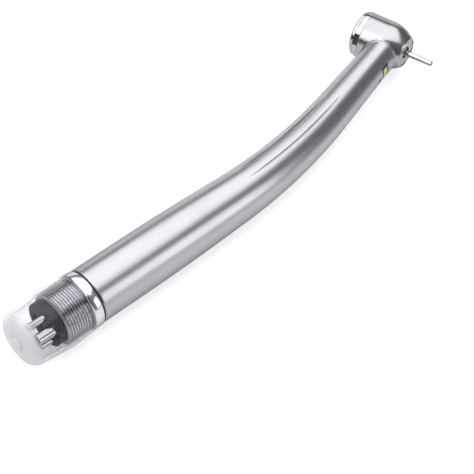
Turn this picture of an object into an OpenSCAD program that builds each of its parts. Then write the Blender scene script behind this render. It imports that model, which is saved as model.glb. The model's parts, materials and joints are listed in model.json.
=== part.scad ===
// High-speed air-turbine dental handpiece with a light, lying on its side. Millimetres.
// X runs along the barrel towards the head, +Y is the push-button side, Z is up.
// The origin is on the barrel's axis, where the sleeve meets the threaded connector.
// The barrel bends in the plane z = 0, so this plane halves the outer shape.

/* [Barrel] */
// Outer radius of the straight barrel
barrel_r = 7.45; // [6.8:0.05:8.2]
// Outer radius of the neck where it meets the head
neck_r = 4.71; // [4.3:0.01:4.9]
// Wall of the sleeve
sleeve_wall = 0.75; // [0.5:0.05:0.9]
// Distance from the rear end at which the barrel starts to narrow
taper_start = 28; // [20:1:34]
// Distance from the rear end at which the bend starts
bend_start = 47; // [44:1:60]
// Length of the bend along the centre line
bend_len = 41; // [30:1:60]
// Angle of the bend, in degrees
bend_deg = 15.3; // [10:0.1:22]
// Length of the centre line from the rear end to the head's axis
axis_len = 118.4; // [110:0.1:130]
// Depth of the two finger scallops in the sides
scallop_depth = 0.1; // [0:0.05:0.5]

/* [Head] */
// Radius of the head
head_r = 6.5; // [6.2:0.1:7]
// Distance from the neck's centre line to the bur-side face
face_z = 5.5; // [5.3:0.1:6]
// Radius of the bur-side face
face_r = 4.1; // [3.9:0.1:4.6]
// Distance across opposite wrench flats of the head cap
flats_across = 12.62; // [12.5:0.01:12.9]
// Travel of the push button
button_travel = 0.6; // [0.4:0.05:0.6]
// Number of balls in each bearing
ball_count = 7; // [6:1:8]
// Number of blades on the turbine wheel
blade_count = 8; // [6:1:10]
// Diameter of the bur's shank
shank_d = 1.6; // [1.58:0.01:1.6]
// Length of bur that stands out of the face
bur_out = 7.9; // [4:0.1:12]

/* [Rear connector] */
// Crest radius of the coupling thread
thread_r = 7.05; // [6.8:0.05:7.1]
// Pitch of the coupling thread
thread_pitch = 0.75; // [0.5:0.05:1]
// Direction of the drive-air tube around the barrel's axis, in degrees from +Y
port_clock = 158; // [0:1:359]
// Distance from the barrel's axis to the tubes
port_ring_r = 3.65; // [3.5:0.05:3.8]
// Bore radius of the drive-air tube
drive_bore_r = 1.2; // [1:0.05:1.25]
// Bore radius of the water and chip-air tubes
fine_bore_r = 0.6; // [0.5:0.05:0.65]

/* [Show] */
// Sub-part to draw

/* [Hidden] */
$fn = 64;
eps = 0.01;

// sizes of the sleeve's mesh
ring_sides = 60;
ring_step = 2.8;
sleeve_x0 = 0.6;

// centre line: straight, one arc, straight
bend_r = bend_len / (bend_deg * PI / 180);
bend_end = bend_start + bend_len;
function heading(s) = bend_deg * min(max(s - bend_start, 0), bend_len) / bend_len;
function arc_point(a) = [bend_start + bend_r * sin(a), bend_r * (1 - cos(a)), 0];
function on_line(s) = s < bend_start ? [s, 0, 0]
    : arc_point(heading(s)) + max(s - bend_end, 0) * [cos(bend_deg), sin(bend_deg), 0];

// outer radius of the sleeve at a distance s along the centre line
taper_len = 84;
function ramp(u) = (u + sqrt(u * u + 100)) / 2;
function taper(s) = pow(max(1 - ramp(s - taper_start) / taper_len, 0), 1.15);
function sleeve_r(s) = neck_r + (barrel_r - neck_r) * taper(s);

// finger scallops: shallow hollows centred on +Z and -Z that fade out at both ends
scallop_from = 50;
scallop_to = 91;
scallop_half_deg = 19;
function smooth(t) = let (u = min(max(t, 0), 1)) u * u * (3 - 2 * u);
function off_side(a) = abs(abs(a > 180 ? a - 360 : a) - 90);
function scallop(s, a) = scallop_depth
    * smooth((s - scallop_from) / 12) * smooth((scallop_to - s) / 12)
    * smooth((scallop_half_deg + 3 - off_side(a)) / 6);

// head, along the bur's axis: 0 is the neck's centre line, positive is towards the bur's tip
cap_seam_z = -6.35;
cap_back_z = -9.0;
cap_step_z = -7.75;
cap_rim_r = head_r - 0.3;
straight_z = -0.7;
seat_r = 3.25;
race_r = 3.175;
race_in_r = 1.5875;
race_h = 2.4;
upper_z = -5.0;
lower_z = 1.3;
chamber_r = 5.0;
skirt_r = 5.6;
skirt_z = -2.6;
mouth_r = 2.0;
spray_face_z = face_z - 0.2;
spray_hole_at = 2.86;
lower_seat_z = 3.75;
spindle_r = 1.58;
spindle_bore_r = 1.2;
spindle_z0 = -5.3;
spindle_z1 = 4.8;
shank_r = shank_d / 2;
grip_r = shank_r - 0.005;
bur_neck_r = 0.6;
ball_r = 0.5;
pitch_r = (race_in_r + race_r) / 2;
groove_r = 0.53;
o_ring_r = 0.33;
recess_r = 5.2;
web_z = -6.2;
button_floor_z = -7.95 + button_travel;
upper_mid_z = upper_z + race_h / 2;
lower_mid_z = lower_z + race_h / 2;
bearing_seal_r = seat_r + 0.28;
cap_seal_z = cap_seam_z + 0.42;

// rear tubes: angle from +Y, distance from the axis, outer radius
drive_r = drive_bore_r + 0.35;
fine_r = fine_bore_r + 0.35;
tube_joint_x = -3;
bypass_ring_r = 4.75;
drive_a = port_clock;
water_a = port_clock - 60;
chip_a = port_clock + 60;
exhaust_a = port_clock + 180;
exhaust_ring_r = 3.0;
exhaust_hole_r = 2.0;
function polar(x, ring, a) = [x, ring * cos(a), ring * sin(a)];

// connector, along the barrel's axis
rim_x = -10.2;
collar_x = -2.6;
block_x0 = -7;
block_x1 = -1;
gasket_x = -12.4;
manifold_x0 = 35;
manifold_x1 = 40;
cap_end_x = -20.7;

// places of the lines inside the neck, across it: towards +Y and up
drive_at = [0.9, 1.6];
water_at = [-1.9, 2.0];
chip_at = [-1.9, -2.0];
wire_y = -2.95;
wire_z = 0.45;
lens_s = 108.6;

// helpers ---------------------------------------------------------------

module xcyl(x0, x1, r) {
    translate([x0, 0, 0]) rotate([0, 90, 0]) cylinder(h = x1 - x0, r = r);
}

module xring(x0, x1, r, bore) {
    difference() {
        xcyl(x0, x1, r);
        xcyl(x0 - 1, x1 + 1, bore);
    }
}

module zring(z0, z1, r, bore) {
    translate([0, 0, z0]) difference() {
        cylinder(h = z1 - z0, r = r);
        translate([0, 0, -1]) cylinder(h = z1 - z0 + 2, r = bore);
    }
}

module zcyl(z0, z1, r) {
    translate([0, 0, z0]) cylinder(h = z1 - z0, r = r);
}

module torus(ring, r) {
    rotate_extrude() translate([ring, 0]) circle(r = r);
}

// a straight round rod between two points
module rod(p, q, r) {
    d = q - p;
    translate(p) rotate([0, acos(d[2] / norm(d)), atan2(d[1], d[0])]) cylinder(h = norm(d), r = r);
}

// rods through a list of points, with a short wider sleeve along X over each corner
module run(points, r, corner_r, half) {
    for (i = [1 : len(points) - 1]) rod(points[i - 1], points[i], r);
    for (i = [1 : len(points) - 2]) translate(points[i]) xcyl(-half, half, corner_r);
}

module at_neck(s) {
    translate(on_line(s)) rotate([0, 0, bend_deg]) children();
}

module at_head() {
    translate(on_line(axis_len)) rotate([0, 0, bend_deg]) rotate([90, 0, 0]) children();
}

// a rod that follows the centre line at a fixed place across it, with a thin ring over each joint
module neck_run(s0, s1, at, r) {
    ring = 0.3;
    rod([s0, at[0], at[1]], [bend_start, at[0], at[1]], r);
    rod([bend_start - ring, at[0], at[1]], [bend_start + ring, at[0], at[1]], r + 0.03);
    translate([bend_start, bend_r, 0]) rotate([0, 0, -90]) rotate_extrude(angle = bend_deg)
        translate([bend_r - at[0], at[1]]) circle(r = r);
    at_neck(bend_end) {
        rod([-ring, at[0], at[1]], [ring, at[0], at[1]], r + 0.03);
        rod([0, at[0], at[1]], [s1 - bend_end, at[0], at[1]], r);
    }
}

module neck_tube(s0, s1, at, r, bore) {
    difference() {
        neck_run(s0, s1, at, r);
        neck_run(s0 - 1, s1 + 1, at, bore);
    }
}

// sleeve ----------------------------------------------------------------

stations = [for (s = [sleeve_x0 : ring_step : axis_len - 3.4]) s];
function ring_point(s, a, r) = on_line(s)
    + r * [-cos(a) * sin(heading(s)), cos(a) * cos(heading(s)), sin(a)];
function skin(inner) = [for (s = stations) for (i = [0 : ring_sides - 1])
    let (a = i * 360 / ring_sides)
    ring_point(s, a, inner ? sleeve_r(s) - sleeve_wall : sleeve_r(s) - scallop(s, a))];

module sleeve_shell() {
    n = ring_sides;
    m = len(stations);
    skip = n * m;
    outer = [for (k = [0 : m - 2]) for (i = [0 : n - 1]) let (j = (i + 1) % n, a = k * n)
        each [[a + i, a + j, a + n + j], [a + i, a + n + j, a + n + i]]];
    inner = [for (f = outer) [f[2] + skip, f[1] + skip, f[0] + skip]];
    rear = [for (i = [0 : n - 1]) let (j = (i + 1) % n)
        each [[i, skip + j, j], [i, skip + i, skip + j]]];
    front = [for (f = rear) [for (v = [f[2], f[1], f[0]]) v + (m - 1) * n]];
    polyhedron(points = concat(skin(false), skin(true)), faces = concat(outer, inner, rear, front));
}

module body_sleeve() {
    color("silver") difference() {
        sleeve_shell();
        at_head() head_form(cap_back_z - 1);
        at_neck(lens_s) translate([-1.52, -7, -2.42]) cube([3.04, 4, 4.84]);
        at_neck(105.3) translate([0, -4.5, 0]) rotate([90, 0, 0]) cylinder(h = 2, r = 0.5);
    }
}

// head ------------------------------------------------------------------

dome_steps = 10;
function dome_r(t) = head_r - (head_r - face_r - 0.25) * pow(t, 1.9);
function dome_z(t) = straight_z + (face_z - 0.25 - straight_z) * t;

// the head's outer form, from a back plane to the face
module head_form(back) {
    dome = [for (i = [0 : dome_steps]) [dome_r(i / dome_steps), dome_z(i / dome_steps)]];
    rotate_extrude() polygon(concat([[0, back], [head_r, back]], dome, [[face_r, face_z], [0, face_z]]));
}

module head_housing() {
    color("silver") at_head() difference() {
        head_form(cap_seam_z);
        zcyl(cap_seam_z - 1, skirt_z + 0.1, skirt_r + 0.05);
        zcyl(skirt_z, lower_z - 0.15, chamber_r);
        zcyl(0, lower_seat_z, seat_r);
        translate([0, 0, lower_mid_z]) torus(bearing_seal_r, o_ring_r + 0.02);
        zcyl(0, face_z + 1, mouth_r);
        zcyl(face_z - 0.6, face_z + 1, 3.7);
        zring(4.5, face_z, 3.4, 2.6);
        translate([-8, drive_at[1], -drive_at[0]]) rotate([0, 90, 0]) cylinder(h = 4.5, r = 0.9);
        translate([-8, -2.4, -0.4]) rotate([0, 90, 0]) cylinder(h = 4.5, r = 1.2);
    }
}

module spray_ring() {
    color("gainsboro") at_head() difference() {
        zring(face_z - 0.6, spray_face_z, 3.7 - eps, mouth_r - 0.25);
        for (a = [67 : 120 : 307]) rotate([0, 0, a]) translate([spray_hole_at, 0, 0]) zcyl(4, 6, 0.25);
    }
}

module lens_block(grow, r) {
    intersection() {
        xcyl(-3, 3, r);
        translate([-1.2 - grow, -6, -2.1 - grow]) cube([2.4 + 2 * grow, 2.0, 4.2 + 2 * grow]);
    }
}

module led_lens() {
    color("khaki") at_neck(lens_s) lens_block(0, 4.76);
}

module led_bezel() {
    color("dimgray") at_neck(lens_s) difference() {
        lens_block(0.3, 4.72);
        translate([-1.21, -7, -2.11]) cube([2.42, 4, 4.22]);
    }
}

module led_module() {
    color("gold") at_neck(lens_s) translate([-1, -3.95, -0.9]) cube([2, 1.3, 1.8]);
}

module led_wires() {
    color("firebrick") for (side = [-1, 1])
        neck_run(34.3, lens_s - 1.05, [wire_y, side * wire_z], 0.3);
}

// bearings: the races are rings with a ball groove in the middle of their height
module race(z0, r, bore) {
    difference() {
        zring(z0, z0 + race_h, r, bore);
        translate([0, 0, z0 + race_h / 2]) torus(pitch_r, groove_r);
    }
}

module balls(z0) {
    for (i = [1 : ball_count]) rotate([0, 0, i * 360 / ball_count])
        translate([pitch_r, 0, z0 + race_h / 2]) sphere(r = ball_r);
}

module cage(z0) {
    mid = z0 + race_h / 2;
    difference() {
        zring(mid - 0.65, mid + 0.65, pitch_r + 0.2, pitch_r - 0.2);
        for (i = [1 : ball_count]) rotate([0, 0, i * 360 / ball_count])
            translate([1, 0, mid]) rotate([0, 90, 0]) cylinder(h = 3, r = ball_r + 0.04);
    }
}

module outer_race(z0) {
    race(z0, race_r, pitch_r + 0.28);
}

module inner_race(z0) {
    race(z0, pitch_r - 0.28, race_in_r);
}

module lower_outer_race() {
    color("slategray") at_head() outer_race(lower_z);
}

module lower_inner_race() {
    color("slategray") at_head() inner_race(lower_z);
}

module upper_outer_race() {
    color("slategray") at_head() outer_race(upper_z);
}

module upper_inner_race() {
    color("slategray") at_head() inner_race(upper_z);
}

module upper_balls() {
    color("white") at_head() balls(upper_z);
}

module lower_balls() {
    color("white") at_head() balls(lower_z);
}

module upper_cage() {
    color("peru") at_head() cage(upper_z);
}

module lower_cage() {
    color("peru") at_head() cage(lower_z);
}

module lower_shield() {
    color("gray") at_head() zring(lower_z + 2.1, lower_z + 2.25, pitch_r + 0.27, pitch_r - 0.2);
}

module lower_o_ring() {
    color("black") at_head() translate([0, 0, lower_mid_z]) torus(bearing_seal_r, o_ring_r);
}

module upper_o_ring() {
    color("black") at_head() translate([0, 0, upper_mid_z]) torus(bearing_seal_r, o_ring_r);
}

// rotor
module spindle() {
    color("lightsteelblue") at_head() difference() {
        union() {
            zcyl(spindle_z0, spindle_z1, spindle_r);
            zcyl(3.9, spindle_z1, 1.8);
        }
        zcyl(spindle_z0 - 1, spindle_z1 + 1, spindle_bore_r);
        for (a = [0 : 60 : 150]) rotate([0, 0, a]) translate([-2, -0.25, 4.35]) cube([4, 0.5, 1]);
    }
}

module blade() {
    intersection() {
        translate([3.6, 1.1]) difference() {
            circle(r = 1.75);
            translate([0.1, 0.3]) circle(r = 1.55);
        }
        translate([1.9, -2]) square([3, 2.6]);
        circle(r = 4.7);
    }
}

module impeller() {
    color("lightsteelblue") at_head() difference() {
        union() {
            zcyl(-2.3, 1.0, 2.35);
            zcyl(-0.85, -0.45, 4.3);
            translate([0, 0, -2.3]) linear_extrude(3.3)
                for (i = [1 : blade_count]) rotate(i * 360 / blade_count) blade();
        }
        zcyl(-3, 2, spindle_r + 0.01);
    }
}

module chuck_collet() {
    color("slategray") at_head() difference() {
        zcyl(-3.6, 5.1, spindle_bore_r - 0.03);
        zcyl(-5, 6, shank_r + 0.02);
        for (a = [0 : 60 : 150]) rotate([0, 0, a]) translate([-2, -0.1, 0.5]) cube([4, 0.2, 6]);
    }
}

module chuck_plunger() {
    color("gainsboro") at_head() {
        zcyl(-6.35, -5.85, 1.1);
        zcyl(-5.9, -4.9, 0.75);
    }
}

module bur() {
    tip = face_z + bur_out;
    color("whitesmoke") at_head() {
        zcyl(-4.4, face_z - 0.5, grip_r);
        zcyl(face_z - 0.6, face_z + 0.2, bur_neck_r);
        zcyl(face_z + 0.1, tip - 0.25, shank_r);
        translate([0, 0, tip - 0.25]) cylinder(h = 0.25, r1 = shank_r, r2 = shank_r - 0.2);
    }
}

// head cap with its seals, and the push button
module head_cap() {
    color("gainsboro") at_head() difference() {
        union() {
            zcyl(cap_step_z, cap_seam_z - 0.03, head_r);
            zcyl(cap_back_z + 0.4, cap_step_z + 0.1, cap_rim_r);
            translate([0, 0, cap_back_z]) cylinder(h = 0.4, r1 = cap_rim_r - 0.45, r2 = cap_rim_r);
            zcyl(cap_seam_z - 0.1, skirt_z, skirt_r);
        }
        zcyl(cap_back_z - 1, button_floor_z, recess_r);
        zcyl(button_floor_z - 1, web_z, 3.8);
        zcyl(web_z - 1, skirt_z, 1.5);
        zcyl(-5.5, skirt_z + 1, seat_r);
        translate([0, 0, upper_mid_z]) torus(bearing_seal_r, o_ring_r + 0.02);
        translate([0, 0, cap_seal_z]) torus(skirt_r - 0.24, 0.32);
        for (i = [0 : 7]) rotate([0, 0, 18 + i * 45])
            translate([flats_across / 2, -3, cap_step_z - 0.5]) cube([2, 6, 3]);
    }
}

module head_cap_seal() {
    color("black") at_head() translate([0, 0, cap_seal_z]) torus(skirt_r - 0.25, 0.27);
}

module wave_washer() {
    color("silver") at_head() zring(-5.35, -5.2, 3.1, 2.45);
}

module button_retainer() {
    color("silver") at_head() zring(-8.75, -8.4, recess_r, 4.6);
}

module button_spring() {
    wire = 0.14;
    color("silver") at_head() for (i = [0 : 4])
        translate([0, 0, web_z - 0.18 - i * 0.36]) torus(2.9, wire);
}

module push_button() {
    dome_ball_r = 14;
    disc_r = 4.45;
    color("gainsboro") at_head() {
        intersection() {
            zcyl(-9.6, -8, disc_r);
            translate([0, 0, dome_ball_r - 9.55]) sphere(r = dome_ball_r);
        }
        zcyl(-8.3, -8.0, 5.0);
        zcyl(-8.05, -6.55, 1.2);
    }
}

// rear connector --------------------------------------------------------

thread_turns = floor((collar_x - 0.3 - rim_x) / thread_pitch);
module thread_form() {
    root = thread_r - 0.4;
    crests = [for (i = [0 : thread_turns - 1]) let (x = rim_x + 0.15 + i * thread_pitch)
        each [[root, x], [thread_r, x + thread_pitch * 0.38], [thread_r, x + thread_pitch * 0.5]]];
    rotate([0, 90, 0]) rotate_extrude()
        polygon(concat([[0, rim_x], [root, rim_x]], crests, [[root, collar_x + eps], [0, collar_x + eps]]));
}

module port_holes(x0, x1, gap) {
    rod(polar(x0, port_ring_r, drive_a), polar(x1, port_ring_r, drive_a), drive_r + gap);
    rod(polar(x0, port_ring_r, water_a), polar(x1, port_ring_r, water_a), fine_r + gap);
    rod(polar(x0, port_ring_r, chip_a), polar(x1, port_ring_r, chip_a), fine_r + gap);
}

module rear_connector() {
    color("silver") difference() {
        union() {
            thread_form();
            xcyl(collar_x + 0.4, 0, 7.6);
            translate([collar_x, 0, 0]) rotate([0, 90, 0]) cylinder(h = 0.41, r1 = 7.2, r2 = 7.6);
            xcyl(-1, sleeve_x0 - 0.02, 6.75);
            xcyl(0, 5, 6.5);
        }
        xcyl(rim_x - 1, block_x0, 6.0);
        xcyl(block_x1, 6, 5.85);
        port_holes(block_x0 - 1, block_x1 + 1, 0.01);
        rod(polar(block_x0 - 1, exhaust_ring_r, exhaust_a), polar(0, exhaust_ring_r, exhaust_a),
            exhaust_hole_r - 0.3);
    }
}

module connector_o_ring() {
    color("black") translate([0.3, 0, 0]) rotate([0, 90, 0]) torus(7.05, 0.29);
}

module port_gasket() {
    color("dimgray") difference() {
        xcyl(gasket_x, block_x0 - eps, 5.95);
        port_holes(gasket_x - 1, block_x0 + 1, 0.02);
        rod(polar(gasket_x - 1, exhaust_ring_r, exhaust_a),
            polar(block_x0 + 1, exhaust_ring_r, exhaust_a), exhaust_hole_r);
    }
}

module port_tube(end_x, a, r, bore) {
    difference() {
        rod(polar(end_x, port_ring_r, a), polar(tube_joint_x, port_ring_r, a), r);
        rod(polar(end_x - 1, port_ring_r, a), polar(tube_joint_x + 1, port_ring_r, a), bore);
    }
}

module drive_port_tube() {
    color("lightsteelblue") port_tube(-17.2, drive_a, drive_r, drive_bore_r);
}

module water_port_tube() {
    color("lightsteelblue") port_tube(-17.8, water_a, fine_r, fine_bore_r);
}

module chip_air_port_tube() {
    color("lightsteelblue") port_tube(-16.2, chip_a, fine_r, fine_bore_r);
}

// from the port block, round the generator, to the manifold
module bypass(a, r, bore) {
    path = [polar(tube_joint_x + 0.02, port_ring_r, a), polar(block_x1 + 0.9, port_ring_r, a),
        polar(9, bypass_ring_r, a), polar(manifold_x0 + 1.5, bypass_ring_r, a)];
    ends = [path[0] - [1, 0, 0], path[1], path[2], path[3] + [1, 0, 0]];
    difference() {
        run(path, r, r + 0.2, 0.8);
        run(ends, bore, bore + 0.12, 0.4);
    }
}

module drive_bypass_line() {
    color("lightsteelblue") bypass(drive_a, drive_r - 0.25, drive_bore_r - 0.3);
}

module water_bypass_line() {
    color("lightsteelblue") bypass(water_a, fine_r - 0.1, fine_bore_r - 0.25);
}

module chip_air_bypass_line() {
    color("lightsteelblue") bypass(chip_a, fine_r - 0.1, fine_bore_r - 0.25);
}

// the manifold joins the bypass lines to the neck lines
module line_manifold() {
    front = manifold_x1 - 1.5;
    color("silver") difference() {
        xcyl(manifold_x0, manifold_x1, 5.9);
        rod(polar(manifold_x0 - 1, bypass_ring_r, drive_a),
            polar(manifold_x0 + 1.52, bypass_ring_r, drive_a), drive_r - 0.24);
        for (a = [water_a, chip_a]) rod(polar(manifold_x0 - 1, bypass_ring_r, a),
            polar(manifold_x0 + 1.52, bypass_ring_r, a), fine_r - 0.09);
        rod([front, drive_at[0], drive_at[1]], [manifold_x1 + 1, drive_at[0], drive_at[1]], 1.31);
        for (at = [water_at, chip_at])
            rod([front, at[0], at[1]], [manifold_x1 + 1, at[0], at[1]], 0.71);
        for (side = [-1, 1]) rod([manifold_x0 - 1, wire_y, side * wire_z],
            [manifold_x1 + 1, wire_y, side * wire_z], 0.31);
        translate([manifold_x0 - 1, 3.4, -1.2]) rotate([0, 90, 0]) cylinder(h = 7, r = 1.6);
    }
}

module drive_neck_line() {
    color("lightsteelblue") neck_tube(manifold_x1 - 1.48, axis_len - 6.6, drive_at, 1.3, 1.0);
}

module water_neck_line() {
    color("lightsteelblue") neck_tube(manifold_x1 - 1.48, axis_len - 6.6, water_at, 0.7, 0.45);
}

module chip_air_neck_line() {
    color("lightsteelblue") neck_tube(manifold_x1 - 1.48, axis_len - 6.6, chip_at, 0.7, 0.45);
}

module neck_spacer() {
    color("dimgray") at_neck(98) difference() {
        xcyl(0, 1.4, 4.2);
        rod([-1, drive_at[0], drive_at[1]], [3, drive_at[0], drive_at[1]], 1.31);
        for (at = [water_at, chip_at]) rod([-1, at[0], at[1]], [3, at[0], at[1]], 0.71);
        for (side = [-1, 1]) rod([-1, wire_y, side * wire_z], [3, wire_y, side * wire_z], 0.31);
        translate([-1, 1.9, -2.1]) rotate([0, 90, 0]) cylinder(h = 4, r = 1.1);
    }
}

// generator that lights the lamp, driven by part of the air
can_x0 = 10.5;
can_x1 = 34;
module generator_can() {
    color("gray") difference() {
        xcyl(can_x0, can_x1, 3.4);
        xcyl(can_x0 + 1.6, can_x1 - 1.6, 2.95);
        xcyl(can_x0 - 1, can_x0 + 0.4, 0.8);
        xcyl(can_x0 + 0.4, can_x0 + 2, 1.8);
        xcyl(can_x1 - 2, can_x1 - 0.4, 1.8);
        for (a = [0 : 90 : 270]) rod(polar(25.4, 0, a), polar(25.4, 5, a), 0.9);
    }
}

module generator_coil() {
    color("chocolate") difference() {
        xcyl(13.5, 22, 2.9);
        xcyl(13, 23, 1.75);
        for (a = [0 : 60 : 300]) rotate([a, 0, 0]) translate([13, -0.15, 1.6]) cube([10, 0.3, 0.9]);
    }
}

module generator_rear_bearing() {
    color("slategray") xring(can_x0 + 0.42, can_x0 + 1.6, 1.79, 0.53);
}

module generator_front_bearing() {
    color("slategray") xring(can_x1 - 1.6, can_x1 - 0.42, 1.79, 0.53);
}

module generator_shaft() {
    color("silver") xcyl(can_x0 + 0.6, can_x1 - 0.6, 0.5);
}

module generator_magnet() {
    color("dimgray") xring(14, 21.5, 1.55, 0.51);
}

module generator_wheel() {
    color("silver") difference() {
        union() {
            xcyl(23.6, 27.2, 1.1);
            for (a = [0 : 60 : 300]) rotate([a, 0, 0]) translate([23.6, -0.2, 0.9]) cube([3.6, 0.4, 1.7]);
        }
        xcyl(23, 28, 0.51);
    }
}

// protective cap that pulls off the thread
module rear_cap() {
    round_r = 2.8;
    nub_r = 1.7;
    nub_out = 0.6;
    outer = [for (a = [0 : 15 : 90])
        [7.4 - round_r + round_r * sin(a), cap_end_x + round_r - round_r * cos(a)]];
    inner = [for (a = [0 : 15 : 90]) [4.6 + 2.0 * sin(a), cap_end_x + 3.0 - 2.0 * cos(a)]];
    half = concat([[0, cap_end_x]], outer, [[8.1, -9.0], [7.75, collar_x - 0.12],
        [7.3, collar_x - 0.12], [7.3, -10.4], [6.9, -11.2]]);
    color("whitesmoke", 0.5) rotate([0, 90, 0]) difference() {
        union() {
            rotate_extrude() polygon(half_with(half, inner));
            translate([0, 0, cap_end_x - nub_out]) cylinder(h = 0.3, r1 = nub_r - 0.3, r2 = nub_r);
            zcyl(cap_end_x - nub_out + 0.3, cap_end_x + 0.3, nub_r);
        }
        zring(cap_end_x - 1, cap_end_x + 0.22, nub_r + 0.65, nub_r);
    }
}

function half_with(half, inner) = concat(half,
    [for (i = [len(inner) - 1 : -1 : 0]) inner[i]], [[0, inner[0][1]]]);

// drawing ---------------------------------------------------------------

body_sleeve();
head_housing();
spray_ring();
led_lens();
led_bezel();
led_module();
led_wires();
rear_connector();
connector_o_ring();
port_gasket();
drive_port_tube();
water_port_tube();
chip_air_port_tube();
drive_bypass_line();
water_bypass_line();
chip_air_bypass_line();
line_manifold();
drive_neck_line();
water_neck_line();
chip_air_neck_line();
neck_spacer();
generator_can();
generator_coil();
generator_rear_bearing();
generator_front_bearing();
generator_shaft();
generator_magnet();
generator_wheel();
lower_outer_race();
lower_o_ring();
lower_shield();
upper_outer_race();
head_cap_seal();
head_cap();
upper_o_ring();
wave_washer();
button_retainer();
button_spring();
push_button();
spindle();
impeller();
upper_inner_race();
lower_inner_race();
chuck_collet();
upper_balls();
upper_cage();
lower_balls();
lower_cage();
chuck_plunger();
bur();
rear_cap();
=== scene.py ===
import json
import math

import bmesh
import bpy
import numpy as np
from mathutils import Matrix, Vector


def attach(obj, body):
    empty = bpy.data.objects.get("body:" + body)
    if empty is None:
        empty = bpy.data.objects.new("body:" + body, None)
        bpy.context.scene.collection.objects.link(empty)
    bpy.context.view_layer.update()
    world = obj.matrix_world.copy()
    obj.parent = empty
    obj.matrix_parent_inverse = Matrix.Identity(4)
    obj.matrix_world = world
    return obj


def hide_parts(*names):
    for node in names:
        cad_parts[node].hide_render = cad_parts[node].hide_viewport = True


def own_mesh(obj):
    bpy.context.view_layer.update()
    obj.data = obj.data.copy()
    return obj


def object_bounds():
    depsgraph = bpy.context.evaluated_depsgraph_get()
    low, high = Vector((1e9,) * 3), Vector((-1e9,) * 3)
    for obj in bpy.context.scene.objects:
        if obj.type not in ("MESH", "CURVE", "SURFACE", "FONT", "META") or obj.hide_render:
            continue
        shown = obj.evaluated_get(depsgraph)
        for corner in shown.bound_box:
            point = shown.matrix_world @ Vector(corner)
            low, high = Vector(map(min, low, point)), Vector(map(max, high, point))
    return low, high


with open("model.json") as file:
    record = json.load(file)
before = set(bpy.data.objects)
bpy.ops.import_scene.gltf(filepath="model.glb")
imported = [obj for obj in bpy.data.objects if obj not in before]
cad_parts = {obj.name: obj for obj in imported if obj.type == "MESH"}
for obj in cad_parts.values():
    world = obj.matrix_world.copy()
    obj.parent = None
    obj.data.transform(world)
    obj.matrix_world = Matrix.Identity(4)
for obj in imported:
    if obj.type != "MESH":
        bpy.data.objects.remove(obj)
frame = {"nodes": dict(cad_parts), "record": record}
nodes = frame["nodes"]
cad_low, cad_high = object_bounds()
MM = 0.001

# camera -----------------------------------------------------------------------------------------------------
AZ, EL, ROLL = math.radians(-43.3536), math.radians(49.3087), math.radians(1.3885)
back = Vector((math.sin(AZ) * math.cos(EL), -math.cos(AZ) * math.cos(EL), math.sin(EL)))
right = (-back).cross(Vector((0, 0, 1))).normalized()
up = right.cross(-back)
across = math.cos(ROLL) * right + math.sin(ROLL) * up
upward = math.cos(ROLL) * up - math.sin(ROLL) * right
camera_data = bpy.data.cameras.new("camera")
camera_data.sensor_width = 36
camera_data.lens = 157.0
camera = bpy.data.objects.new("camera", camera_data)
camera.matrix_world = Matrix.Translation(Vector((-188.1035, -252.0418, 387.2755)) * MM) @ Matrix(
    (across, upward, back)).transposed().to_4x4()
bpy.context.scene.collection.objects.link(camera)
bpy.context.scene.camera = camera

# the object's form ------------------------------------------------------------------------------------------
BARREL_R, NECK_R, WALL = 7.45, 4.71, 0.75
BEND_AT, BEND_LEN, BEND = 47.0, 41.0, math.radians(15.3)
AXIS_LEN, SLEEVE_X = 118.4, 0.6
LENS_S, DIMPLE_S = 108.6, 105.3
HEAD_R, FACE_Z, FACE_R = 6.5, 5.5, 4.1
RIM_SHADE_Z = -8.66  # painted shade: the head cap's rim is painted near-black behind this plane of the head
THREAD_X, THREAD_ROOT, THREAD_CREST, THREAD_PITCH = -9.9, 6.65, 7.05, 0.75
SPRING_TOP, SPRING_BOTTOM, SPRING_R, SPRING_WIRE = -6.38, -7.82, 2.9, 0.14
CAP_BACK_X, CAP_CLEAR_X = -19.6, -17.8  # the clear cap is milky behind the first and clear from the second


def heading(s):
    return BEND * np.clip((s - BEND_AT) / BEND_LEN, 0, 1)


def on_line(s):
    """Points of the centre line: straight, one arc, straight."""
    s = np.asarray(s, float)
    r, a, rest = BEND_LEN / BEND, heading(s), np.maximum(s - BEND_AT - BEND_LEN, 0)
    x = np.minimum(s, BEND_AT) + r * np.sin(a) + rest * math.cos(BEND)
    y = r * (1 - np.cos(a)) + rest * math.sin(BEND)
    return np.stack([x, y, 0 * s], -1)


def smooth(t):
    t = np.clip(t, 0, 1)
    return t * t * (3 - 2 * t)


def sleeve_r(s):
    u = s - 28
    ramp = (u + np.sqrt(u * u + 100)) / 2
    return NECK_R + (BARREL_R - NECK_R) * np.maximum(1 - ramp / 84, 0) ** 1.15


def side_angle(a):
    """Angle from +Y towards +Z, folded so that both sides read alike, in degrees from 0 to 180."""
    a = np.mod(a, 360)
    return np.where(a > 180, 360 - a, a)


def groove(s, a, centre, width, depth, start, end, flat):
    """One long finger groove that comes to a point at both ends. flat is the share of its width that is floor."""
    along = smooth((s - start) / 9) * smooth((end - s) / 9)
    half = width / 2 * (0.3 + 0.7 * along)
    off = np.abs(side_angle(a) - centre) * math.pi / 180 * sleeve_r(s)
    return depth * along * smooth((1 - off / half) / (1 - flat))


def hollow(s, a):
    """How far the sleeve's side is below its round form: one shallow scallop between two grooves."""
    along = smooth((s - 50) / 11) * smooth((91 - s) / 11)
    across_side = np.clip(1 - ((side_angle(a) - 86) / 17.5) ** 2, 0, 1)
    return (0.09 * along * across_side + groove(s, a, 67.6, 0.85, 0.5, 50.0, 90.5, 0.45)
            + groove(s, a, 103.2, 0.62, 0.5, 51.5, 91.0, 0.15))


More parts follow.
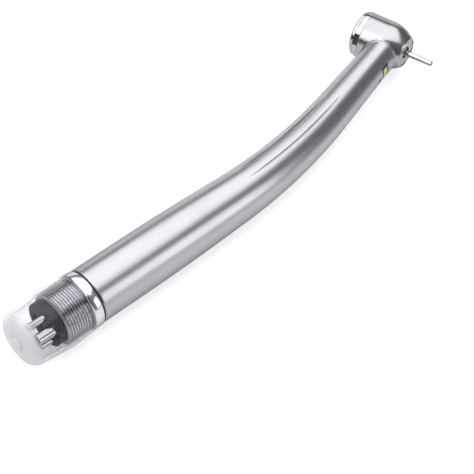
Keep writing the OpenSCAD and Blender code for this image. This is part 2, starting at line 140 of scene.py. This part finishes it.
def head_r_at(z):
    t = np.clip((z + 0.7) / (FACE_Z - 0.25 + 0.7), 0, 1)
    return HEAD_R - (HEAD_R - FACE_R - 0.25) * t ** 1.9


def sleeve_end(a, r):
    """Where along the centre line a sleeve line at angle a and radius r meets the head."""
    a = np.radians(a)
    return AXIS_LEN - np.sqrt(head_r_at(-r * np.cos(a)) ** 2 - (r * np.sin(a)) ** 2)


def ring_point(s, a, r):
    h, a = heading(s), np.radians(a)
    return on_line(s) + np.stack([-r * np.cos(a) * np.sin(h), r * np.cos(a) * np.cos(h), r * np.sin(a)], -1)


NECK = Matrix.Rotation(BEND, 4, "Z")
HEAD = (Matrix.Translation(Vector(on_line(AXIS_LEN)) * MM) @ Matrix.Rotation(BEND, 4, "Z")
        @ Matrix.Rotation(math.pi / 2, 4, "X"))
BARREL = Matrix.Rotation(math.pi / 2, 4, "Y")


def at_neck(s):
    return Matrix.Translation(Vector(on_line(s)) * MM) @ NECK


# mesh makers ------------------------------------------------------------------------------------------------
def piece(name, verts, faces, sharp=35):
    """An object from points in millimetres."""
    mesh = bpy.data.meshes.new(name)
    mesh.from_pydata((np.asarray(verts) * MM).tolist(), [], faces)
    mesh.validate()
    clean = bmesh.new()
    clean.from_mesh(mesh)
    bmesh.ops.remove_doubles(clean, verts=clean.verts, dist=1e-7)
    bmesh.ops.recalc_face_normals(clean, faces=clean.faces)
    clean.to_mesh(mesh)
    clean.free()
    mesh.polygons.foreach_set("use_smooth", [True] * len(mesh.polygons))
    mesh.set_sharp_from_angle(angle=math.radians(sharp))
    obj = bpy.data.objects.new(name, mesh)
    bpy.context.scene.collection.objects.link(obj)
    return obj


def grid_faces(rows, cols, wrap_rows):
    i = np.arange(rows if wrap_rows else rows - 1)[:, None]
    j = np.arange(cols)[None, :]
    k, n = (i + 1) % rows, (j + 1) % cols
    return np.stack([i * cols + j, i * cols + n, k * cols + n, k * cols + j], -1).reshape(-1, 4)


def rounded(points, radii, steps=4):
    """A closed 2-D outline with its corners rounded. radii gives one number for each point."""
    points, out = [np.array(p, float) for p in points], []
    for i, (p, r) in enumerate(zip(points, radii, strict=True)):
        before, after = points[i - 1], points[(i + 1) % len(points)]
        if r <= 0:
            out.append(p)
            continue
        d0, d1 = before - p, after - p
        l0, l1 = np.linalg.norm(d0), np.linalg.norm(d1)
        half = math.acos(max(min(float(d0 @ d1) / (l0 * l1), 1), -1)) / 2
        reach = min(r / math.tan(half), 0.49 * l0, 0.49 * l1)
        start, end = p + d0 / l0 * reach, p + d1 / l1 * reach
        for t in np.linspace(0, 1, steps + 1):
            out.append((1 - t) ** 2 * start + 2 * t * (1 - t) * p + t * t * end)
    return out


def lathe(name, outline, place, sides=160, sharp=35):
    """A closed outline of (height, radius) points turned about the local Z axis, then put in place."""
    h, r = np.array(outline).T
    a = np.linspace(0, 2 * math.pi, sides, endpoint=False)
    verts = np.stack([r[:, None] * np.cos(a), r[:, None] * np.sin(a), h[:, None] + 0 * a], -1).reshape(-1, 3)
    obj = piece(name, verts, grid_faces(len(h), sides, True).tolist(), sharp)
    obj.data.transform(place)
    return obj


def box_mesh(name, low, high, place, bevel=0.0):
    """A bevelled block, used as a cutter or as the start of a piece."""
    mesh = bpy.data.meshes.new(name)
    shape = bmesh.new()
    bmesh.ops.create_cube(shape, size=1.0)
    for v in shape.verts:
        v.co = Vector([(low[k] if v.co[k] < 0 else high[k]) * MM for k in range(3)])
    if bevel:
        bmesh.ops.bevel(shape, geom=shape.edges[:], offset=bevel * MM, segments=3, profile=0.5, affect="EDGES")
    shape.to_mesh(mesh)
    shape.free()
    mesh.transform(place)
    obj = bpy.data.objects.new(name, mesh)
    bpy.context.scene.collection.objects.link(obj)
    return obj


def rod_mesh(name, p, q, r, sides=40):
    """A round cutter between two points in millimetres."""
    p, q = Vector(p) * MM, Vector(q) * MM
    mesh = bpy.data.meshes.new(name)
    shape = bmesh.new()
    bmesh.ops.create_cone(shape, cap_ends=True, segments=sides, radius1=r * MM, radius2=r * MM,
                          depth=(q - p).length)
    shape.to_mesh(mesh)
    shape.free()
    turn = (q - p).to_track_quat("Z", "Y").to_matrix().to_4x4()
    mesh.transform(Matrix.Translation((p + q) / 2) @ turn)
    obj = bpy.data.objects.new(name, mesh)
    bpy.context.scene.collection.objects.link(obj)
    return obj


def apply_modifiers(obj):
    done = bpy.data.meshes.new_from_object(obj.evaluated_get(bpy.context.evaluated_depsgraph_get()))
    obj.modifiers.clear()
    obj.data = done


def cut(obj, *cutters, sharp=35):
    for c in cutters:
        m = obj.modifiers.new("cut", "BOOLEAN")
        m.operation, m.solver, m.object = "DIFFERENCE", "EXACT", c
    apply_modifiers(obj)
    for c in cutters:
        bpy.data.objects.remove(c)
    obj.data.polygons.foreach_set("use_smooth", [True] * len(obj.data.polygons))
    obj.data.set_sharp_from_angle(angle=math.radians(sharp))
    return obj


def flat_shading(obj):
    """Keeps broad faces even beside their rounded edges."""
    m = obj.modifiers.new("normals", "WEIGHTED_NORMAL")
    m.keep_sharp, m.weight = True, 60
    return obj


# materials --------------------------------------------------------------------------------------------------
class Look:
    """A small builder for one procedural material."""

    def __init__(self, name):
        self.mat = bpy.data.materials.new(name)
        self.mat.use_nodes = True
        self.tree = self.mat.node_tree
        self.shader = self.tree.nodes["Principled BSDF"]
        self.place = self.tree.nodes.new("ShaderNodeTexCoord").outputs["Object"]

    def new(self, kind, **sockets):
        node = self.tree.nodes.new("ShaderNode" + kind)
        for key, value in sockets.items():
            self.put(node, key.replace("_", " "), value)
        return node

    def put(self, node, key, value):
        socket = node.inputs[int(key)] if key.isdigit() else node.inputs[key]
        if isinstance(value, bpy.types.NodeSocket):
            self.tree.links.new(value, socket)
        else:
            socket.default_value = value

    def set(self, **sockets):
        for key, value in sockets.items():
            self.put(self.shader, key.replace("_", " "), value)

    def math(self, kind, a, b=0.0, c=0.0):
        node = self.new("Math")
        node.operation = kind
        for i, value in enumerate((a, b, c)):
            self.put(node, str(i), value)
        return node.outputs[0]

    def noise(self, scale, detail=2.0, rough=0.5, at=None, stretch=None):
        at = at or self.place
        if stretch:
            at = self.new("Mapping", Vector=at, Scale=stretch).outputs[0]
        node = self.new("TexNoise", Vector=at, Scale=scale, Detail=detail, Roughness=rough)
        return node.outputs["Fac"]

    def span(self, value, low, high, start=0.0, end=1.0):
        node = self.new("MapRange", Value=value)
        for key, number in (("From Min", start), ("From Max", end), ("To Min", low), ("To Max", high)):
            node.inputs[key].default_value = number
        return node.outputs["Result"]

    def mix(self, fac, a, b):
        node = self.tree.nodes.new("ShaderNodeMix")
        node.data_type = "RGBA"
        self.put(node, "Factor", fac)
        for key, colour in (("A", a), ("B", b)):
            socket = [s for s in node.inputs if s.name == key and s.type == "RGBA"][0]
            if isinstance(colour, bpy.types.NodeSocket):
                self.tree.links.new(colour, socket)
            else:
                socket.default_value = (*colour, 1)
        return [s for s in node.outputs if s.type == "RGBA"][0]

    def bump(self, height, strength, depth, normal=None):
        node = self.new("Bump", Height=height, Strength=strength, Distance=depth)
        if normal:
            self.put(node, "Normal", normal)
        return node.outputs["Normal"]

    def along(self, direction, start=0.0):
        """Distance along one direction, in metres."""
        dot = self.new("VectorMath")
        dot.operation = "DOT_PRODUCT"
        self.put(dot, "0", self.place)
        dot.inputs[1].default_value = direction
        return self.math("ADD", dot.outputs["Value"], start)

    def turned(self, place):
        """Axial and radial distances about the local Z axis of place, in metres."""
        m = place.inverted()
        out = [self.along(m[row][:3], m[row][3]) for row in (0, 1, 2)]
        radial = self.math("SQRT", self.math("ADD", self.math("MULTIPLY", out[0], out[0]),
                                             self.math("MULTIPLY", out[1], out[1])))
        return out[2], radial


def satin_metal(name, colour, rough, grain=0.5, grain_scale=4500.0, smudge=0.015):
    """Blasted, fine-grained metal."""
    look = Look(name)
    fine = look.noise(grain_scale, 3.0, 0.65)
    broad = look.noise(90.0, 4.0, 0.6)
    scratches = look.noise(420.0, 2.0, 0.55, stretch=(0.25, 6.0, 6.0))
    dark = tuple(c * 0.95 for c in colour)
    look.set(Metallic=1.0, Base_Color=look.mix(look.span(broad, 0.0, 1.0, 0.35, 0.7), colour, dark))
    level = look.math("ADD", look.span(broad, rough - smudge, rough + smudge, 0.3, 0.7),
                      look.span(scratches, -0.008, 0.008, 0.3, 0.7))
    look.set(Roughness=look.math("ADD", level, look.span(fine, -0.05, 0.05, 0.25, 0.75)))
    look.set(Normal=look.bump(fine, grain, 5e-6))
    return look.mat


def turned_metal(name, colour, rough, place, lines=0.25, pitch=9000.0, shade_below=None, threaded=False):
    """Lathe-turned or polished metal with faint rings about the local Z axis of place. A given dark end plane
    paints near-black shade over the metal past it. threaded paints shade into the valleys of the connector's thread
    and roughens the rim at its end."""
    look = Look(name)
    axial, radial = look.turned(place)
    along = look.new("CombineXYZ", X=axial, Y=radial).outputs[0]
    rings = look.noise(pitch, 2.0, 0.7, at=along)
    broad = look.noise(160.0, 4.0, 0.6)
    fine = look.noise(3800.0, 2.0, 0.5)
    dark = tuple(c * 0.85 for c in colour)
    body = look.mix(look.span(broad, 0.0, 1.0, 0.35, 0.7), colour, dark)
    if shade_below is not None:
        # painted shade: past this plane the metal is painted near-black, for the dark shade line along the head
        # cap's rim
        blend = 0.04 * MM
        body = look.mix(look.span(axial, 1.0, 0.0, shade_below - blend, shade_below + blend), body,
                        (0.07, 0.07, 0.075))
    level = look.math("ADD", look.span(broad, rough * 0.75, rough * 1.3, 0.3, 0.7),
                      look.span(rings, -0.03, 0.04, 0.3, 0.7))
    if threaded:
        start, root = THREAD_X * MM, (THREAD_ROOT + 0.02) * MM
        # painted shade: metal at the thread's root radius, from the thread's start forward, is painted a darker
        # grey for the shade in the thread's valleys
        painted_valley_shade = look.math("MULTIPLY", look.span(radial, 1.0, 0.0, root, root + 0.18 * MM),
                           look.span(axial, 0.0, 1.0, start - 0.08 * MM, start + 0.1 * MM))
        body = look.mix(painted_valley_shade, body, (0.33, 0.33, 0.34))
        level = look.math("ADD", level, look.span(axial, 0.3, 0.0, start - 0.2 * MM, start - 0.05 * MM))
    look.set(Metallic=1.0, Base_Color=body, Roughness=level)
    look.set(Normal=look.bump(rings, lines, 2.0e-6, look.bump(fine, 0.15, 1.5e-6)))
    return look.mat


def moulded(name, colour, rough, grain_scale=2500.0, grain=0.3, depth=8e-6, speck=0.12, **more):
    """Rubber, resin and other moulded parts."""
    look = Look(name)
    fine = look.noise(grain_scale, 3.0, 0.6)
    broad = look.noise(240.0, 3.0, 0.55)
    pale = tuple(min(c * (1 + speck) + 0.01, 1) for c in colour)
    look.set(Base_Color=look.mix(look.span(broad, 0.0, 1.0, 0.35, 0.65), colour, pale))
    look.set(Roughness=look.span(look.math("ADD", fine, broad), rough - 0.08, rough + 0.1, 0.7, 1.3))
    look.set(Normal=look.bump(fine, grain, depth))
    look.set(**more)
    return look.mat


def lens_resin():
    """Green-yellow window inside a near-black edge, painted shade where the lens sits in the shade of its pocket.
    """
    half_long, half_high = 0.86 * MM, 1.72 * MM
    look = Look("lens_resin")
    m = at_neck(LENS_S).inverted()
    out = [look.math("SUBTRACT", look.math("ABSOLUTE", look.along(m[row][:3], m[row][3])), half)
           for row, half in ((0, half_long), (2, half_high))]
    edge = look.span(look.math("MAXIMUM", *out), 0.0, 1.0, -0.1 * MM, 0.1 * MM)
    cloudy = look.noise(900.0, 3.0, 0.6)
    glow = look.mix(look.span(cloudy, 0.0, 1.0, 0.3, 0.7), (0.60, 0.74, 0.26), (0.74, 0.82, 0.42))
    # painted shade: the lens's outer edge is painted near-black for the shade round the lens in its pocket
    look.set(Base_Color=look.mix(edge, glow, (0.03, 0.035, 0.03)), Roughness=look.span(cloudy, 0.12, 0.2, 0.3, 0.7))
    look.set(Normal=look.bump(cloudy, 0.15, 8e-6), Subsurface_Weight=0.2, Subsurface_Radius=(1, 1, 1),
             Subsurface_Scale=0.0005)
    return look.mat


SILVER = (0.55, 0.558, 0.585)
satin = satin_metal("satin_sleeve", SILVER, 0.3)
head_satin = satin_metal("satin_head", (0.51, 0.515, 0.535), 0.23, grain=0.35)
cap_metal = turned_metal("turned_cap", (0.60, 0.605, 0.62), 0.15, HEAD, shade_below=RIM_SHADE_Z * MM)
chuck_metal = turned_metal("burnished_chuck", (0.2, 0.2, 0.21), 0.3, HEAD)
button_metal = turned_metal("turned_button", (0.68, 0.685, 0.70), 0.1, HEAD, lines=0.35)
thread_metal = turned_metal("turned_connector", (0.88, 0.885, 0.905), 0.2, BARREL, threaded=True)
tube_metal = turned_metal("drawn_tube", (0.70, 0.69, 0.68), 0.13, BARREL, lines=0.1)
bearing_metal = turned_metal("ground_bearing", (0.42, 0.42, 0.44), 0.2, HEAD)
bur_metal = turned_metal("ground_bur", (0.72, 0.715, 0.71), 0.14, HEAD, lines=0.3, pitch=6000.0)
ring_metal = turned_metal("turned_spray_ring", (0.60, 0.605, 0.63), 0.3, HEAD, lines=0.3)
aluminium = turned_metal("turned_aluminium", (0.76, 0.77, 0.79), 0.3, BARREL)
rubber = moulded("seal_rubber", (0.022, 0.023, 0.026), 0.5)
gasket = moulded("gasket_rubber", (0.022, 0.024, 0.028), 0.45, grain=0.4)
dark_resin = moulded("dark_resin", (0.03, 0.032, 0.035), 0.4)
lens = lens_resin()
led = moulded("led_ceramic", (0.8, 0.72, 0.35), 0.4)
cage = moulded("cage_resin", (0.35, 0.2, 0.1), 0.45)
white_ceramic = moulded("ball_ceramic", (0.75, 0.75, 0.73), 0.12, grain=0.05)
wire = moulded("wire_insulation", (0.45, 0.05, 0.04), 0.4)
copper = turned_metal("coil_copper", (0.75, 0.36, 0.2), 0.3, BARREL, lines=0.9, pitch=4000.0)
magnet = moulded("magnet_dark", (0.06, 0.06, 0.065), 0.35)


def clear_plastic():
    """Clear moulded cap, milky where it is seen edge-on and in its thick closed end, with a faint painted glow in
    the milky part.
    """
    look = Look("cap_clear")
    haze = look.noise(150.0, 3.0, 0.6)
    fine = look.noise(1200.0, 3.0, 0.6)
    waver = look.math("MULTIPLY", look.math("SUBTRACT", haze, 0.5), 1.2 * MM)
    x = look.math("ADD", look.along((1.0, 0.0, 0.0)), waver)
    facing = look.new("LayerWeight", Blend=0.5).outputs["Facing"]
    edge = look.math("MULTIPLY", look.math("POWER", facing, 3.0), 0.6)
    closed = look.span(x, 0.72, 0.006, CAP_BACK_X * MM, CAP_CLEAR_X * MM)
    normal = look.bump(haze, 0.12, 3e-5)
    # painted light: the milky part glows faintly, to brighten the closed end that faces away from the lights
    look.set(Base_Color=(0.80, 0.805, 0.835, 1), Normal=normal, Specular_IOR_Level=0.3,
             Roughness=look.span(look.math("ADD", haze, fine), 0.1, 0.3, 0.7, 1.4),
             Subsurface_Weight=0.5, Subsurface_Radius=(1, 1, 1), Subsurface_Scale=0.0015,
             Emission_Color=(0.94, 0.96, 1.0, 1), Emission_Strength=0.06)
    through = look.new("BsdfTransparent", Color=(0.9, 0.903, 0.914, 1))
    shine = look.new("BsdfGlossy", Color=(1, 1, 1, 1), Roughness=0.03, Normal=normal)
    body, top = look.new("MixShader"), look.new("MixShader")
    look.put(body, "0", look.math("MAXIMUM", closed, edge))
    look.put(top, "0", look.math("ADD", look.math("MULTIPLY", look.math("POWER", facing, 4.0), 0.1), 0.01))
    for a, b in ((through.outputs[0], body.inputs[1]), (look.shader.outputs[0], body.inputs[2]),
                 (body.outputs[0], top.inputs[1]), (shine.outputs[0], top.inputs[2]),
                 (top.outputs[0], look.tree.nodes["Material Output"].inputs["Surface"])):
        look.tree.links.new(a, b)
    return look.mat


cap_plastic = clear_plastic()

# the record's slot for each node gives its material, and a few nodes have one of their own
BY_SLOT = {
    "satin_steel": satin, "polished_steel": cap_metal, "bearing_steel": bearing_metal, "tube_steel": tube_metal,
    "ceramic": white_ceramic, "cage_resin": cage, "seal_rubber": rubber, "gasket_rubber": gasket,
    "lens_resin": lens, "dark_resin": dark_resin, "led_ceramic": led, "wire_insulation": wire,
    "aluminium_body": aluminium, "coil_copper": copper, "magnet_dark": magnet, "cap_clear": cap_plastic,
}
for part in frame["record"]["subparts"]:
    holder = nodes[part["node"]]
    for k in range(len(holder.material_slots)):
        holder.material_slots[k].material = BY_SLOT[part["material_slot"]]
for name, material in (("bur", bur_metal), ("spray_ring", ring_metal), ("head_housing", head_satin),
                       ("rear_connector", thread_metal), ("push_button", button_metal), ("spindle", chuck_metal),
                       ("chuck_collet", chuck_metal)):
    nodes[name].material_slots[0].material = material


def finish_piece(obj, material, body, slot, *replaced):
    obj.data.materials.clear()
    obj.data.materials.append(material)
    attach(obj, body)
    if replaced:
        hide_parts(*replaced)
    return obj


# sleeve -----------------------------------------------------------------------------------------------------
def make_sleeve():
    """The bent outer shell with its grooves, the lens pocket and the spray dimple under the neck."""
    # angles round the sleeve, closer together where the grooves run
    side = np.concatenate([np.arange(2, 61, 2.0), np.arange(61.7, 73, 0.45), np.arange(74, 100, 2.0),
                           np.arange(99.6, 107, 0.45), np.arange(108, 180, 2.0)])
    a = np.concatenate([[0.0], side, [180.0], 360 - side[::-1]])[None, :]
    cols = a.size
    lip, fillet = 0.22, 0.3
    edge = np.array([1.0, 0.85, 0.7, 0.55, 0.4, 0.28, 0.16, 0.06, 0.0])
    top = sleeve_end(90.0, NECK_R)
    base = np.concatenate([[0.0, 0.03, 0.09, lip], np.arange(0.55, top - SLEEVE_X - fillet - 0.1, 0.3)]) + SLEEVE_X
    outer_r = sleeve_r(np.full_like(a, 113.0)) + fillet * 0.5
    end = sleeve_end(a, outer_r)
    # the last rows bend to follow the curve where the sleeve meets the head
    w = smooth((base[:, None] - 104) / (base[-1] - 104))
    s = base[:, None] + w * (end - fillet - 0.1 - base[-1])
    r = sleeve_r(s) - hollow(s, a)
    near = np.clip(1 - (s - SLEEVE_X) / lip, 0, 1)
    r = r - lip * (1 - np.sqrt(np.maximum(1 - near * near, 0)))
    tail_s = end - fillet * edge[:, None]
    tail_r = sleeve_r(tail_s) + fillet - np.sqrt(np.maximum(fillet ** 2 - (fillet * (1 - edge[:, None])) ** 2, 0))
    sink_r = tail_r[-1:] + 0.02
    sink_s = end + 0.25
    inner_base = np.linspace(0, 1, 60)[::-1][:, None]
    inner_end = sleeve_end(a, sleeve_r(np.full_like(a, 112.0)) - WALL) + 0.1
    inner_s = SLEEVE_X + 0.02 + inner_base * (inner_end - SLEEVE_X - 0.02)
    inner_r = sleeve_r(inner_s) - WALL
    S = np.concatenate([s, tail_s, sink_s, inner_s])
    R = np.concatenate([r, tail_r, sink_r, inner_r])
    A = np.broadcast_to(a, S.shape)
    verts = ring_point(S, A, R).reshape(-1, 3)
    obj = piece("sleeve_shell", verts, grid_faces(len(S), cols, True).tolist(), 40)
    lens_place = at_neck(LENS_S)
    pocket = box_mesh("pocket", (-1.52, -7, -2.42), (1.52, -3, 2.42), lens_place, 0.12)
    n = at_neck(DIMPLE_S)
    dimple = rod_mesh("dimple", (n @ Vector((0, -0.007, 0))) / MM, (n @ Vector((0, -0.0043, 0))) / MM, 0.5)
    cut(obj, pocket, dimple, sharp=40)
    return finish_piece(obj, satin, "handpiece", "satin_steel", "body_sleeve")


# head -------------------------------------------------------------------------------------------------------
def make_head():
    dome = [(z, float(head_r_at(z))) for z in np.linspace(-0.7, FACE_Z - 0.25, 26)]
    shape = [(-2.6, 5.65), (-6.35, 5.65), (-6.35, 6.5), *dome, (FACE_Z, FACE_R), (FACE_Z, 3.72), (4.88, 3.72),
             (4.88, 2.0), (3.76, 2.0), (3.76, 3.25), (0.0, 3.25), (0.0, 5.0), (-2.6, 5.0)]
    radii = [0, 0.06, 0.09, *[0] * len(dome), 0.1, 0.05, 0, 0.08, 0, 0, 0, 0, 0]
    obj = lathe("head_shell", rounded(shape, radii), HEAD, 192, 30)
    flat_shading(obj)
    return finish_piece(obj, head_satin, "handpiece", "satin_steel", "head_housing")


def make_head_cap():
    """The cap over the button end, with eight wrench flats round it."""
    shape = [(-9.0, 5.2), (-9.0, 5.75), (-8.6, 6.2), (-7.95, 6.2), (-7.92, 5.9), (-7.78, 5.9), (-7.75, 6.5),
             (-6.39, 6.5), (-6.39, 5.6), (-2.62, 5.6), (-2.62, 3.25), (-5.5, 3.25), (-5.5, 1.5), (-6.2, 1.5),
             (-6.2, 3.8), (-7.35, 3.8), (-7.35, 5.2)]
    radii = [0.08, 0.14, 0.14, 0.03, 0, 0, 0.06, 0.06, 0, 0.1, 0, 0, 0, 0, 0, 0, 0]
    obj = lathe("cap_shell", rounded(shape, radii), HEAD, 192, 30)
    flats = []
    for i in range(8):
        turn = Matrix.Rotation(math.radians(18 + 45 * i), 4, "Z")
        flats.append(box_mesh("flat", (6.31, -3, -8.2), (8.31, 3, -5.9), HEAD @ turn, 0.05))
    cut(obj, *flats, sharp=30)
    flat_shading(obj)
    return finish_piece(obj, cap_metal, "head_cap", "polished_steel", "head_cap")


def make_button():
    ball, disc = 14.0, 4.45
    dome = [(-9.55 + ball - math.sqrt(ball ** 2 - r ** 2), r) for r in np.linspace(0, disc, 18)]
    shape = [*dome, (-8.3, disc), (-8.3, 5.0), (-8.0, 5.0), (-8.0, 1.2), (-6.55, 1.2), (-6.55, 0.0)]
    radii = [0] * 17 + [0.14] + [0.0, 0.06, 0.06, 0.0, 0.1, 0.0]
    obj = lathe("button_dome", rounded(shape, radii), HEAD, 160, 30)
    flat_shading(obj)
    return finish_piece(obj, button_metal, "button", "polished_steel", "push_button")


def make_spring():
    """Coil spring between the web and the button."""
    turns, per_turn, sides = 4, 56, 10
    t = np.linspace(0, 1, turns * per_turn + 1)[:, None]
    around = np.linspace(0, 2 * math.pi, sides, endpoint=False)[None, :]
    angle = 2 * math.pi * turns * t
    radius = SPRING_R + SPRING_WIRE * np.cos(around) + 0 * t
    height = SPRING_TOP + (SPRING_BOTTOM - SPRING_TOP) * t + SPRING_WIRE * np.sin(around)
    verts = np.stack([radius * np.cos(angle), radius * np.sin(angle), height], -1).reshape(-1, 3)
    faces = grid_faces(len(t), sides, False).tolist()
    faces += [list(range(sides)), [len(verts) - 1 - k for k in range(sides)]]
    obj = piece("button_spring_coil", verts, faces, 50)
    obj.data.transform(HEAD)
    finish_piece(obj, bearing_metal, "head_cap", "bearing_steel", "button_spring")
    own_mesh(obj)
    return obj


# rear connector with its helical thread ---------------------------------------------------------------------
def make_connector():
    cols = 224
    a = np.linspace(0, 360, cols, endpoint=False)[None, :]
    x = np.arange(THREAD_X, -2.78, 0.05)[:, None]
    phase = np.mod(x / THREAD_PITCH - a / 360, 1)
    ridge = smooth(np.clip(1.12 - np.abs(phase - 0.5) * 2 * 1.35, 0, 1))
    fade = smooth((x + 10.15) / 0.35) * smooth((-3.0 - x) / 0.5)
    r = THREAD_ROOT + (THREAD_CREST - THREAD_ROOT) * ridge * fade
    rear = np.array([(-7.0, 0.0), (-7.0, 6.0), (-10.12, 6.0), (-10.2, 6.06), (-10.2, 6.3), (-10.16, 6.36),
                     (-9.98, 6.62)])
    front = np.array([(-2.72, 6.62), (-2.6, 6.66), (-2.6, 7.12), (-2.56, 7.22), (-2.24, 7.55), (-2.14, 7.6),
                      (-0.1, 7.6), (-0.03, 7.57), (0.0, 7.5), (0.0, 6.76), (0.58, 6.75), (0.58, 6.5), (5.0, 6.5),
                      (5.0, 5.85), (-1.0, 5.85), (-1.0, 0.0)])
    X = np.concatenate([np.tile(rear[:, :1], cols), np.tile(x, cols), np.tile(front[:, :1], cols)])
    R = np.concatenate([np.tile(rear[:, 1:], cols), r, np.tile(front[:, 1:], cols)])
    t = np.radians(np.broadcast_to(a, X.shape))
    verts = np.stack([X, R * np.cos(t), R * np.sin(t)], -1).reshape(-1, 3)
    obj = piece("threaded_connector", verts, grid_faces(len(X), cols, False).tolist(), 32)
    return finish_piece(obj, thread_metal, "handpiece", "polished_steel", "rear_connector")


# clear cap --------------------------------------------------------------------------------------------------
def make_cap():
    end_x, bend_r = -20.7, 4.6
    quarter = np.linspace(0, math.pi / 2, 12)
    outer = [(end_x + 2.8 - 2.8 * math.cos(u), bend_r + 2.8 * math.sin(u)) for u in quarter]
    inner = [(end_x + 3.0 - 2.0 * math.cos(u), bend_r + 2.0 * math.sin(u)) for u in quarter[::-1]]
    nub = [(-21.3, 0.0), (-21.3, 1.4), (-21.0, 1.7), (-20.48, 1.7), (-20.48, 2.35), (end_x, 2.35)]
    shape = [*nub, *outer, (-9.0, 8.1), (-2.72, 7.75), (-2.72, 7.3), (-10.4, 7.3), (-11.2, 6.9), *inner,
             (-19.7, 0.0)]
    radii = [0, 0.2, 0.2, 0.12, 0.1, 0.15, *[0] * 12, 1.5, 0.16, 0.1, 0.3, 0.6, *[0] * 12, 0]
    obj = lathe("clear_cap", rounded(shape, radii, 5), BARREL, 192, 40)
    return finish_piece(obj, cap_plastic, "rear_cap", "cap_clear", "rear_cap")


make_sleeve()
make_head()
make_head_cap()
make_button()
make_spring()
make_connector()
make_cap()

# stage ------------------------------------------------------------------------------------------------------
floor_z = cad_low.z
floor_mesh = bpy.data.meshes.new("floor")
FLOOR_HALF = 4.0
floor_corners = [(x * FLOOR_HALF, y * FLOOR_HALF, floor_z) for x, y in ((-1, -1), (1, -1), (1, 1), (-1, 1))]
floor_mesh.from_pydata(floor_corners, [], [(0, 1, 2, 3)])
floor = bpy.data.objects.new("floor", floor_mesh)
bpy.context.scene.collection.objects.link(floor)
floor_look = Look("floor_paper")
floor_look.set(Roughness=0.9, Specular_IOR_Level=0.1, Emission_Color=(1, 1, 1, 1))
# painted shade: the floor is painted darker past the head and behind the handpiece, for the metal to reflect
beyond_head = floor_look.span(floor_look.along((0.777, -0.629, 0.0), -0.078), 0.0, 1.0, 0.012, 0.07)
behind = floor_look.math("MINIMUM", floor_look.along((-1.0, 0.0, 0.0), 0.06),
                         floor_look.along((0.0, 1.0, 0.0), -0.02))
painted_floor_shade = floor_look.math("MAXIMUM", beyond_head, floor_look.span(behind, 0.0, 1.0, 0.0, 0.03))
floor_look.set(Base_Color=floor_look.mix(painted_floor_shade, (0.84, 0.84, 0.85), (0.30, 0.30, 0.305)))
seen = floor_look.new("LightPath").outputs["Is Camera Ray"]
floor_look.set(Emission_Strength=floor_look.math("MULTIPLY", seen, 0.66))
floor.data.materials.append(floor_look.mat)


def soft_light(name, azimuth, elevation, distance, width, height, radiance, colour=(1, 1, 1)):
    """A square-edged soft light that faces the object, its azimuth taken from +X towards +Y."""
    data = bpy.data.lights.new(name, "AREA")
    data.shape, data.size, data.size_y = "RECTANGLE", width, height
    data.energy = radiance * math.pi * width * height
    data.color = colour
    az, el = math.radians(azimuth), math.radians(elevation)
    out = Vector((math.cos(az) * math.cos(el), math.sin(az) * math.cos(el), math.sin(el)))
    middle = Vector((0.055, 0.0, 0.0))
    obj = bpy.data.objects.new(name, data)
    obj.location = middle + out * distance
    obj.rotation_mode = "QUATERNION"
    obj.rotation_quaternion = out.to_track_quat("Z", "Y")
    obj.visible_camera = False
    bpy.context.scene.collection.objects.link(obj)
    return obj


soft_light("overhead", 50, 74, 0.9, 1.42, 1.42, 1.6)
soft_light("side_strip", -64, 17, 0.9, 0.40, 0.50, 1.9)
soft_light("rear_panel", 166, 42, 0.9, 1.0, 0.60, 1.9)
soft_light("low_fill", 52, 8, 0.9, 1.2, 0.24, 0.8)
world = bpy.data.worlds.new("studio")
world.use_nodes = True
sky, background = world.node_tree, world.node_tree.nodes["Background"]
heading_x = sky.nodes.new("ShaderNodeSeparateXYZ")
sky.links.new(sky.nodes.new("ShaderNodeTexCoord").outputs["Generated"], heading_x.inputs[0])
level = sky.nodes.new("ShaderNodeMapRange")
for key, number in (("From Min", -0.8), ("From Max", -0.2), ("To Min", 0.05), ("To Max", 0.15)):
    level.inputs[key].default_value = number
sky.links.new(heading_x.outputs["X"], level.inputs["Value"])
sky.links.new(level.outputs["Result"], background.inputs["Strength"])
background.inputs["Color"].default_value = (0.98, 0.99, 1.05, 1)
bpy.context.scene.world = world
bpy.context.scene.view_settings.view_transform = "Standard"
